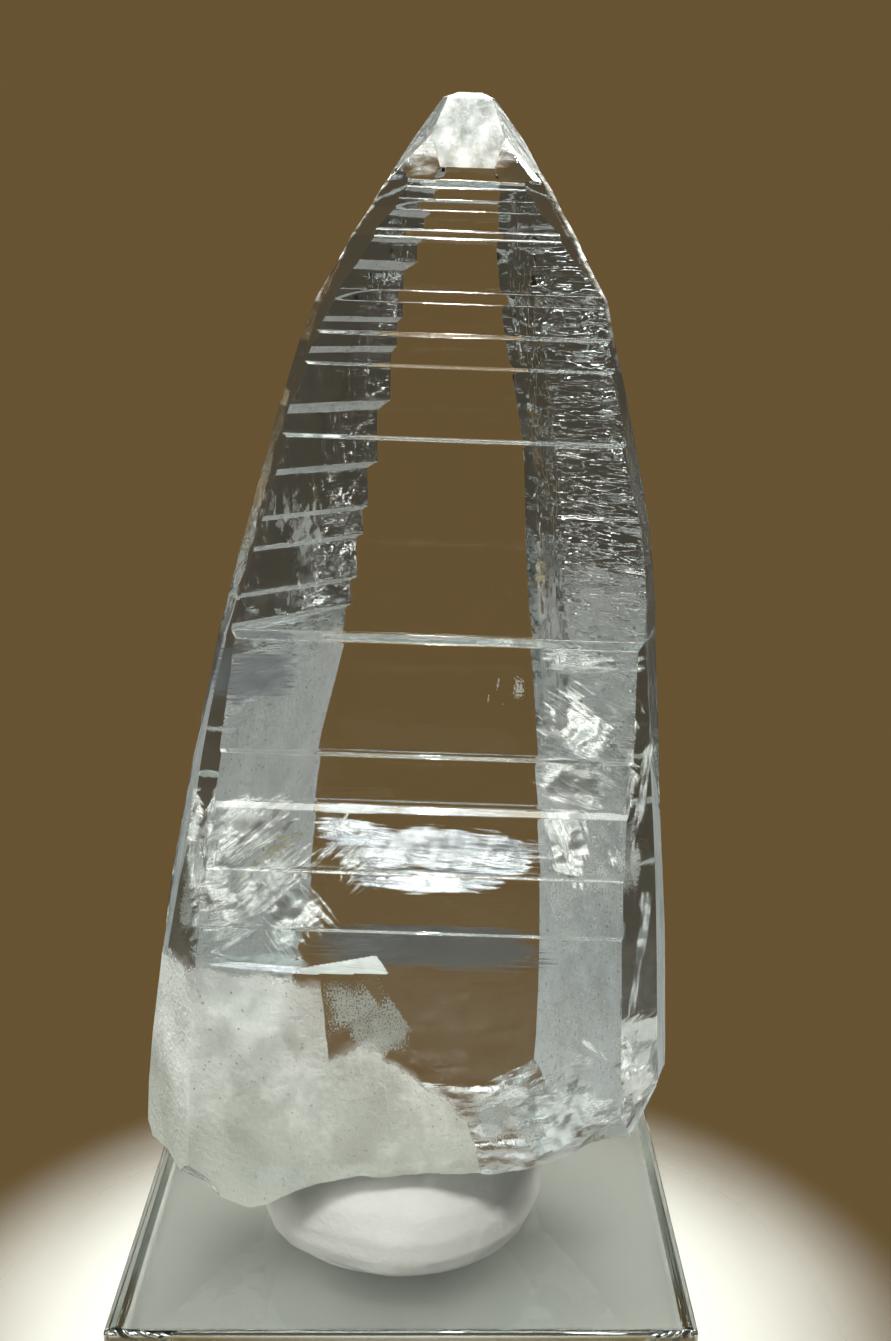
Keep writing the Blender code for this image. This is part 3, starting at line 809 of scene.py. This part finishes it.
def clear_quartz_material(name, crinkly, milky):
    """Water-clear, with faint striae and frost where it is etched; crinkled or milky where that is so."""
    material, net, shader = new_material(name)
    skin = bump(net, object_noise(net, 55.0, 2.0, 0.6, stretch=(1.0, 1.0, 22.0)), STRIA_DEPTH)
    if crinkly:
        skin = crinkles(net, skin)
    grainy = attribute(net, "grainy")
    grains = maths(net, "MULTIPLY", object_noise(net, 1600.0, 1.0), grainy)
    skin = bump(net, grains, GRAIN_DEPTH, under=skin)

    mottle = object_noise(net, 150.0, 4.0, 0.6, stretch=(1.0, 1.0, 4.0))
    specks = object_noise(net, 1500.0, 2.0, 0.5)
    etched = maths(net, "ADD", attribute(net, "frost"), remapped(net, mottle, 0.3, 0.7, -0.26, 0.26))
    etched = remapped(net, etched, 0.22, 0.85, smooth=True)
    etched = maths(net, "MULTIPLY", etched, remapped(net, specks, 0.64, 0.72, 1.0, 0.4))
    milk = milky_root(net) if milky else None
    dull = maths(net, "MAXIMUM", etched, milk) if milky else etched
    pits = object_noise(net, 900.0, 2.0, 0.6)
    rough = maths(net, "MULTIPLY", maths(net, "MULTIPLY", dull, dull), DULL_ROUGHNESS)
    rough = maths(net, "MAXIMUM", rough, maths(net, "MULTIPLY", grainy, GRAIN_ROUGHNESS))
    clouds = object_noise(net, 75.0, 5.0, 0.68, stretch=(1.0, 1.0, 0.7))
    opaque = maths(net, "MULTIPLY", etched, remapped(net, clouds, 0.35, 0.65, 0.45, 0.80))
    colour = WATER_CLEAR
    if milky:
        height = own_place(net)["Z"]
        glassy = object_noise(net, 110.0, 4.0, 0.7, stretch=(1.0, 1.0, 0.8), place=(0.2, 0.6, 0.1))
        glassy = remapped(net, glassy, 0.40, 0.62, 0.78, 0.40)
        clearer = remapped(net, height, 0.060, 0.074, 0.0, 0.24, smooth=True)
        glassy = maths(net, "SUBTRACT", glassy, clearer)
        opaque = maths(net, "MAXIMUM", opaque, maths(net, "MULTIPLY", milk, glassy))
        # Painted light: the milk whitens with height, as if lit from above, and greys low down.
        rise = maths(net, "SUBTRACT", maths(net, "MULTIPLY", height, MILK_PAINTED_LIGHT_RISE), MILK_PAINTED_SHADE_AT_BOTTOM)
        clouds = remapped(net, maths(net, "ADD", clouds, rise), 0.36, 0.64, smooth=True)
        cloudy = blended(net, clouds, MILK_GREY, MILK_WHITE)
        spotted = blended(net, remapped(net, specks, 0.69, 0.74), cloudy, MILK_SPECK)
        colour = blended(net, milk, WATER_CLEAR, spotted)
    feed(
        net, shader, Base_Color=colour, IOR=QUARTZ_IOR, Roughness=rough,
        Transmission_Weight=maths(net, "SUBTRACT", 1.0, opaque),
        Normal=bump(net, pits, PIT_DEPTH, dull, skin),
    )
    absorbing(net, QUARTZ_TINT, QUARTZ_DENSITY)
    return material


def broken_quartz_material():
    """The fresh break and the flakes: white and glittering, clear only in places."""
    material, net, shader = new_material("broken_quartz")
    patches = object_noise(net, 120.0, 4.0, 0.6)
    chips = object_noise(net, 700.0, 4.0, 0.6)
    feed(
        net, shader, Base_Color=BREAK_WHITE, IOR=QUARTZ_IOR,
        Transmission_Weight=remapped(net, patches, 0.4, 0.6, 0.55, 0.97),
        Roughness=remapped(net, patches, 0.4, 0.6, 0.45, 0.08), Normal=bump(net, chips, 0.0002),
    )
    absorbing(net, QUARTZ_TINT, QUARTZ_DENSITY)
    return material


def frosted_quartz_material():
    """The front of the point: etched white, mottled with glossy flecks, thinner and clearer at its sides,
    where painted shade greys it.
    """
    material, net, shader = new_material("frosted_quartz")
    mottle = object_noise(net, 330.0, 4.0, 0.6, stretch=(1.0, 1.0, 0.6))
    colour = blended(net, remapped(net, mottle, 0.38, 0.62), FROST_GREY, FROST_WHITE)
    # Facets that look sideways: thinner, clearer frost, greyed by painted shade.
    out = new_node(net, "NewGeometry").outputs["True Normal"]
    sideways = maths(net, "ABSOLUTE", new_node(net, "SeparateXYZ", Vector=out).outputs["X"], 0.0)
    side = remapped(net, sideways, 0.2, 0.4)
    clear = remapped(net, mottle, 0.35, 0.65, 0.85, 0.50)
    flecks = object_noise(net, 500.0, 3.0, 0.6, stretch=(1.0, 1.0, 0.35))
    feed(
        net, shader, Base_Color=blended(net, side, colour, FROST_SIDES_PAINTED_SHADE), IOR=QUARTZ_IOR,
        Transmission_Weight=maths(net, "MAXIMUM", clear, side), Roughness=FROSTED_ROUGHNESS,
        Normal=bump(net, flecks, 0.0004),
    )
    absorbing(net, QUARTZ_TINT, QUARTZ_DENSITY)
    return material


clear_quartz = clear_quartz_material("clear_quartz", crinkly=False, milky=False)
broken_quartz = broken_quartz_material()
frosted_quartz = frosted_quartz_material()
crystal = new_piece("clear_crystal", grown_crystal(), [clear_quartz])
cutters = [tip_facet_cutter(points, clear_quartz) for points in TIP_CORNER_FACETS]
for number, flake in enumerate(FLAKES, start=1):
    cutters.append(flake_cutter(number, *flake, broken_quartz))
cutters.append(foot_slab(0.0, SLAB_BOTTOM, broken_quartz))
cut_away(crystal, cutters)
skins = {}
for crinkly, milky, name in (
    (False, True, "milky_quartz"), (True, False, "crinkled_quartz"), (True, True, "crinkled_milky_quartz"),
):
    skins[crinkly, milky] = len(crystal.data.materials)
    crystal.data.materials.append(clear_quartz_material(name, crinkly, milky))
crystal.data.materials.append(frosted_quartz)
for face, name in zip(crystal.data.polygons, mark_skin(crystal.data)):
    if face.material_index == 0:
        face.material_index = skins.get((name in RELIEF_STRETCH, face.center.z < MILK_TOP), 0)
    if (OFF_AXIS @ face.center).z > TIP_BASE * MM and on_frosted_tip(OFF_AXIS.to_3x3() @ face.normal):
        face.material_index = len(crystal.data.materials) - 1
crystal.data.shade_smooth()
crystal.data.set_sharp_from_angle(angle=SHARP_ANGLE)
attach(crystal, "root")
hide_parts("quartz_crystal")


# ================================================================ the fractures and veils in the crystal
# Old cracks in the quartz have healed or stayed open as films of air. They lie inside the one clear
# body: mirror-bright, feathery or milky sheets, a little crumpled, and one stained by iron.

SHEET_TILT = 22
SHEET_CELL = 0.45
SHEET_RIM = 0.35
SHEET_COVER = 0.5
SHEET_RAGGED_SPAN = 12
SHEET_WAVE_SPAN = 6
SHEET_TRIM_FADE = 0.25
FILM_CLEAR, FILM_OPAQUE = 0.42, 0.56


def under_skin(place):
    """How deep a place lies in the crystal, in millimetres, below its faces and its broken foot."""
    stands = ON_AXIS @ (place * MM)
    return min(*face_depths(place), (stands.z - foot_height(stands.x, stands.y)) / MM)


def add_sheet(
    bm, centre, size, wave, seed, tilt=SHEET_TILT, yaw=0.0, roll=0.0, slot=0, cell=SHEET_CELL, rim=SHEET_RIM,
    trims=(),
):
    """One crumpled sheet facing the front: centre (u, v, w) and size in millimetres, turns in degrees.

    Each trim is a straight edge of it: a point (across, up) and the way out, in degrees from across.
    """
    width, height = size
    made = bmesh.ops.create_grid(
        bm, x_segments=max(4, round(width / cell)), y_segments=max(4, round(height / cell)), size=0.5
    )
    uv, solid = bm.loops.layers.uv.verify(), bm.verts.layers.float["solid"]
    verts = made["verts"]
    for vert in verts:
        across, up = 2 * vert.co.x, 2 * vert.co.y
        ragged = rim * noise.noise(
            Vector((across * width / SHEET_RAGGED_SPAN, up * height / SHEET_RAGGED_SPAN, seed))
        )
        vert[solid] = 1.0 - (across**4 + up**4) ** 0.5 + ragged
        vert.co = Vector((vert.co.x * width, vert.co.y * height, 0.0))
    for across, up, way in trims:
        out = Vector((math.cos(math.radians(way)), math.sin(math.radians(way)), 0.0))
        for vert in verts:
            past = (vert.co - Vector((across, up, 0.0))).dot(out)
            vert[solid] = min(vert[solid], SHEET_TRIM_FADE - past)
    for face in {face for vert in verts for face in vert.link_faces}:
        face.material_index = slot
        for loop in face.loops:
            loop[uv].uv = (loop.vert.co.x + 7 * seed, loop.vert.co.y)
    for vert in verts:
        place = Vector((vert.co.x / SHEET_WAVE_SPAN, vert.co.y / SHEET_WAVE_SPAN, seed * 3.1))
        vert.co.z = wave * (noise.noise(place) + 0.35 * noise.noise(place * 3.3))
    turn = (
        Matrix.Translation(centre) @ Matrix.Rotation(math.radians(yaw), 4, "Z")
        @ Matrix.Rotation(math.radians(90 - tilt), 4, "X") @ Matrix.Rotation(math.radians(roll), 4, "Z")
    )
    bmesh.ops.transform(bm, matrix=turn, verts=verts)
    gone = [vert for vert in verts if vert[solid] < 0.0 or under_skin(vert.co) < SHEET_COVER]
    bmesh.ops.delete(bm, geom=gone, context="VERTS")


def film_material(name, colour, metallic, roughness, cover, grain, stretch, crumple, strongest=1.0):
    """A film in a crack: opaque where its noise is over cover, clear elsewhere and towards its rim."""
    material, net, shader = new_material(name)
    flat = new_node(net, "Mapping", Vector=new_node(net, "UVMap").outputs["UV"], Scale=(*stretch, 1.0))
    pattern = new_node(
        net, "TexNoise", Vector=flat.outputs["Vector"], Scale=grain, Detail=5.0, Roughness=0.62
    ).outputs["Fac"]
    solid = maths(net, "MINIMUM", attribute(net, "solid"), 1.0)
    lifted = maths(net, "ADD", maths(net, "MULTIPLY", solid, 0.5), pattern)
    feed(
        net, shader, Base_Color=colour, Metallic=metallic, Roughness=roughness,
        Alpha=remapped(net, lifted, cover + FILM_CLEAR, cover + FILM_OPAQUE, 0.0, strongest, smooth=True),
        Normal=bump(net, pattern, crumple * MM),
    )
    return material


def new_films(name, sheets, materials):
    bm = bmesh.new()
    bm.verts.layers.float.new("solid")
    for centre, size, wave, seed, settings in sheets:
        add_sheet(bm, centre, size, wave, seed, **settings)
    bmesh.ops.scale(bm, vec=(MM, MM, MM), verts=bm.verts)
    bmesh.ops.transform(bm, matrix=ON_AXIS, verts=bm.verts)
    films = new_piece(name, bm, materials)
    films.data.shade_smooth()
    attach(films, "root")
    return films


mirror_film = film_material("mirror_film", (0.80, 0.84, 0.88), 0.88, 0.27, 0.24, 0.30, (0.22, 4.6), 0.16)
grey_film = film_material(
    "striated_film", (0.50, 0.55, 0.60), 0.7, 0.22, 0.20, 0.30, (0.06, 7.0), 0.10, strongest=0.75
)
shard_film = film_material("shard_film", (0.80, 0.83, 0.80), 0.85, 0.28, -0.35, 0.35, (0.4, 2.4), 0.35)
new_films(
    "mirror_fractures",
    (
        ((0.8, -11.7, 57.6), (44.0, 9.6), 0.4, 1, {"roll": -3, "rim": 0.6}),
        ((8.5, -11.4, 57.0), (26.0, 9.0), 0.3, 26, {"roll": -2, "rim": 0.6}),
        ((0.6, -10.9, 51.8), (32.0, 5.6), 0.3, 2, {"roll": -1, "rim": 0.6}),
        ((1.7, -10.8, 39.4), (46.0, 9.0), 0.15, 3, {"tilt": 6, "slot": 1, "rim": 0.15}),
        ((-28.6, -13.9, 87.6), (15.0, 11.0), 0.3, 35, {"tilt": 6, "slot": 1, "rim": 0.6}),
        ((-12.6, -21.8, 38.9), (16.0, 5.4), 0.3, 12,
         {"slot": 2, "cell": 0.2, "rim": 0.05,
          "trims": ((0.0, 0.6, 102.0), (6.2, 0.0, 35.0), (0.0, -1.5, -88.0))}),
        ((-26.0, -21.8, 37.9), (22.0, 1.5), 0.4, 34, {"roll": -3, "cell": 0.2}),
    ),
    [mirror_film, grey_film, shard_film],
)

feathery_film = film_material("feathery_film", (0.84, 0.86, 0.84), 0.88, 0.25, 0.37, 0.40, (0.30, 2.6), 0.35)
milky_film = film_material(
    "milky_film", (0.92, 0.94, 0.91), 0.0, 0.6, 0.47, 0.6, (1.6, 0.6), 0.3, strongest=0.38
)
stain_film = film_material(
    "iron_stain", (0.72, 0.62, 0.32), 0.3, 0.4, 0.47, 0.9, (0.6, 1.4), 0.6, strongest=0.55
)
speckled_film = film_material(
    "speckled_film", (0.84, 0.86, 0.82), 0.85, 0.30, 0.44, 3.4, (1.0, 0.7), 0.30, strongest=0.62
)
new_films(
    "feathery_fractures",
    (
        ((-30.0, -17.7, 60.6), (24.0, 13.0), 1.2, 4, {"roll": 38}),
        ((-26.0, -16.0, 52.0), (25.0, 12.0), 1.4, 5, {"tilt": 23, "roll": 40}),
        ((-32.0, -18.0, 44.0), (14.0, 13.0), 1.4, 15, {"roll": 20}),
        ((-21.5, -17.0, 45.5), (15.0, 17.0), 1.2, 16, {"roll": -50}),
        ((-27.0, -18.8, 38.2), (25.0, 9.0), 1.3, 17, {"tilt": 72}),
        ((-35.0, -17.5, 53.0), (9.0, 31.0), 1.0, 18, {"yaw": -26, "roll": 20}),
        ((-36.5, -16.5, 62.5), (7.0, 14.0), 0.5, 27, {"tilt": 14, "yaw": -39, "rim": 0.6}),
        ((-37.3, -16.3, 48.0), (7.4, 24.0), 0.9, 28, {"tilt": 14, "yaw": -39, "slot": 3, "rim": 0.6}),
        ((-12.0, -11.7, 55.5), (14.0, 15.0), 1.0, 19, {"roll": 45}),
        ((24.6, -13.9, 81.0), (18.5, 15.0), 1.2, 6, {"roll": -32}),
        ((24.7, -11.9, 90.4), (17.0, 6.0), 0.5, 7, {}),
        ((24.5, -13.0, 70.0), (17.0, 12.0), 1.0, 20, {"roll": -20}),
        ((24.0, -20.4, 13.0), (32.0, 22.0), 1.6, 8, {"roll": 25, "rim": 0.8}),
        ((31.0, -14.0, 22.0), (9.0, 1.4), 0.3, 41, {"roll": -38, "cell": 0.2, "rim": 0.6}),
        ((26.0, -14.0, 41.0), (6.0, 12.0), 0.5, 42, {"roll": 10, "slot": 3, "rim": 0.9, "cell": 0.3}),
        ((23.5, -17.5, 12.0), (22.0, 15.0), 1.8, 31, {"tilt": 23, "roll": 48}),
        ((14.0, -18.5, 10.0), (10.0, 16.0), 1.0, 9, {"roll": 20, "slot": 3}),
        ((14.6, -18.9, 87.1), (3.2, 7.0), 0.5, 21, {"slot": 3, "cell": 0.2, "rim": 0.9}),
        ((11.0, -18.9, 87.5), (0.9, 5.0), 0.3, 22, {"roll": -8, "slot": 3, "cell": 0.15}),
        ((9.5, -18.9, 85.0), (0.7, 2.4), 0.3, 29, {"slot": 3, "cell": 0.12}),
        ((34.4, -17.3, 68.0), (22.0, 5.6), 0.8, 24, {"yaw": 26, "roll": 75, "rim": 0.8}),
        ((35.6, -17.1, 40.0), (26.0, 6.0), 0.8, 25, {"yaw": 26, "roll": 80, "rim": 0.8}),
        ((34.0, -20.0, 54.5), (5.4, 22.0), 0.6, 32, {"yaw": 26, "slot": 3, "rim": 0.9, "cell": 0.25}),
        ((35.0, -20.0, 20.4), (5.4, 20.0), 0.6, 33, {"yaw": 26, "slot": 3, "rim": 0.9, "cell": 0.25}),
        ((-20.6, -11.8, 108.0), (9.0, 30.0), 0.8, 11, {"tilt": 0, "slot": 1}),
        ((-24.0, -9.8, 115.0), (8.0, 20.0), 0.6, 10, {"tilt": 0, "slot": 1}),
        ((-25.6, -20.2, 57.3), (26.0, 5.0), 0.6, 13, {"tilt": 0, "roll": 42, "slot": 2}),
        ((17.5, -9.8, 104.5), (3.6, 11.0), 0.4, 14, {"tilt": 0, "slot": 2}),
        ((-9.5, -21.6, 29.9), (21.0, 24.0), 0.5, 23,
         {"tilt": 21, "slot": 3, "rim": 0.7, "cell": 0.3, "trims": ((4.5, 0.0, 35.0),)}),
        ((-6.0, -14.0, 28.0), (16.0, 22.0), 0.5, 36,
         {"tilt": 20, "slot": 3, "rim": 0.9, "cell": 0.3, "trims": ((3.5, 0.0, 35.0),)}),
        ((26.0, -13.0, 56.0), (17.0, 30.0), 0.8, 37, {"slot": 3, "rim": 0.7}),
        ((26.0, -14.5, 60.0), (16.0, 16.0), 0.8, 39, {"roll": -70, "rim": 0.9}),
        ((15.0, -20.5, 11.0), (16.0, 16.0), 0.8, 40, {"roll": 10, "slot": 3, "rim": 0.9}),
        ((-28.0, -21.6, 30.5), (24.0, 17.0), 0.8, 30, {"tilt": 21, "roll": 20, "rim": 0.7}),
    ),
    [feathery_film, milky_film, stain_film, speckled_film],
)


# ================================================================ the floor, the light and the camera
# A plain pale table top in a plain warm room. Soft boxes light it from the front, above, behind, the left
# and both rear sides, and two narrow lamps, high in front and behind, put the glints on the ledges.

FLOOR_RADIUS = 0.15
FLOOR_DROP = 0.0004
# The painted pool of light: where the floor starts to fade out and where it is gone, round its middle.
PAINTED_POOL_FADE = (0.052, 0.104)
PAINTED_POOL_MIDDLE = (0.0, -0.022, 0.0)
TABLE_PALE = (0.50, 0.49, 0.46)
ROOM_BACK = (0.135, 0.087, 0.033)
ROOM_LOW = (0.30, 0.215, 0.105)
ROOM_SIDES = (0.055, 0.050, 0.037)
ROOM_CEILING = (0.10, 0.095, 0.085)


def floor_material():
    """Pale and matte under the block, a painted pool of light: past it the floor fades out into the dim
    room.
    """
    material, net, shader = new_material("pale_table")
    grain = object_noise(net, 400.0, 2.0)
    feed(net, shader, Base_Color=TABLE_PALE, Roughness=0.6, Normal=bump(net, grain, 0.00005))
    away = net.nodes.new("ShaderNodeVectorMath")
    away.operation = "DISTANCE"
    connect(net, away.inputs[0], new_node(net, "TexCoord").outputs["Object"])
    connect(net, away.inputs[1], PAINTED_POOL_MIDDLE)
    mix = new_node(net, "MixShader", Fac=remapped(net, away.outputs["Value"], *PAINTED_POOL_FADE, smooth=True))
    connect(net, mix.inputs[1], shader.outputs["BSDF"])
    connect(net, mix.inputs[2], new_node(net, "BsdfTransparent").outputs["BSDF"])
    feed(net, net.nodes["Material Output"], Surface=mix.outputs["Shader"])
    return material


bm = bmesh.new()
bmesh.ops.create_circle(bm, cap_ends=True, radius=FLOOR_RADIUS, segments=96)
bmesh.ops.translate(bm, vec=(0.0, 0.0, -FLOOR_DROP), verts=bm.verts)
floor = new_piece("pale_floor", bm, [floor_material()])


def room_light():
    """The dim room: warm brown behind, lighter low down, dark grey to the sides and in front."""
    world = bpy.data.worlds.new("warm_room")
    bpy.context.scene.world = world
    world.use_nodes = True
    net = world.node_tree
    way = new_node(net, "SeparateXYZ", Vector=new_node(net, "TexCoord").outputs["Generated"]).outputs
    sideways = remapped(net, maths(net, "ABSOLUTE", way["X"], 0.0), 0.25, 0.7, smooth=True)
    forward = remapped(net, way["Y"], -0.1, -0.4, smooth=True)
    ends = blended(net, remapped(net, way["Z"], -0.56, -0.68, smooth=True), ROOM_BACK, ROOM_LOW)
    walls = blended(net, maths(net, "MAXIMUM", sideways, forward), ends, ROOM_SIDES)
    ceiling = remapped(net, way["Z"], 0.45, 0.8, smooth=True)
    feed(net, net.nodes["Background"], Color=blended(net, ceiling, walls, ROOM_CEILING))


room_light()


WHITE_LIGHT = (0.98, 1.0, 0.94)
LIT_PLACE = Vector((0, 0, 0.1))


def area_light(name, place, width, depth, power):
    light = bpy.data.lights.new(name, "AREA")
    light.shape = "RECTANGLE"
    light.size = width
    light.size_y = depth
    light.energy = power
    light.color = WHITE_LIGHT
    lamp = bpy.data.objects.new(name, light)
    lamp.location = place
    lamp.rotation_euler = (LIT_PLACE - Vector(place)).to_track_quat("-Z", "Y").to_euler()
    lamp.visible_camera = False
    bpy.context.scene.collection.objects.link(lamp)


for name, place, width, depth, power in (
    ("front_box", (0.0, -0.46, 0.76), 0.50, 0.18, 2.6),
    ("glint_lamp", (0.0255, -0.38, 0.62), 0.015, 0.08, 2.5),
    ("overhead_box", (0.0, 0.02, 0.90), 0.60, 0.10, 3.5),
    ("back_box", (0.0, 0.315, 0.95), 0.50, 0.19, 1.0),
    ("left_box", (-0.75, -0.70, 0.55), 0.45, 0.45, 4.0),
    ("left_back_box", (-0.70, 0.42, 0.62), 0.25, 0.25, 6.5),
    ("right_back_box", (0.70, 0.42, 0.62), 0.25, 0.25, 6.5),
    ("steep_glint_lamp", (0.080, 0.385, 0.90), 0.02, 0.30, 6.0),
):
    area_light(name, place, width, depth, power)

CAMERA_PLACE = (0.0075, -0.2842, 0.1902)
SENSOR_WIDTH = 36.0
# The lens and the dip, as lengths in a frame this high.
FRAME_HEIGHT = 1341
FOCAL_LENGTH = 1600
HORIZON_RISE = 385.5

lens = bpy.data.cameras.new("camera")
lens.sensor_width = SENSOR_WIDTH
lens.lens = SENSOR_WIDTH * FOCAL_LENGTH / FRAME_HEIGHT
lens.clip_start = 0.01
camera = bpy.data.objects.new("camera", lens)
camera.location = CAMERA_PLACE
camera.rotation_euler = (math.radians(90) - math.atan(HORIZON_RISE / FOCAL_LENGTH), 0.0, 0.0)
bpy.context.scene.collection.objects.link(camera)
bpy.context.scene.camera = camera

scene = bpy.context.scene
scene.view_settings.view_transform = "Standard"
scene.cycles.max_bounces = 12
scene.cycles.transmission_bounces = 12
scene.cycles.transparent_max_bounces = 10
scene.cycles.glossy_bounces = 5
scene.cycles.diffuse_bounces = 2
scene.cycles.sample_clamp_indirect = 8.0
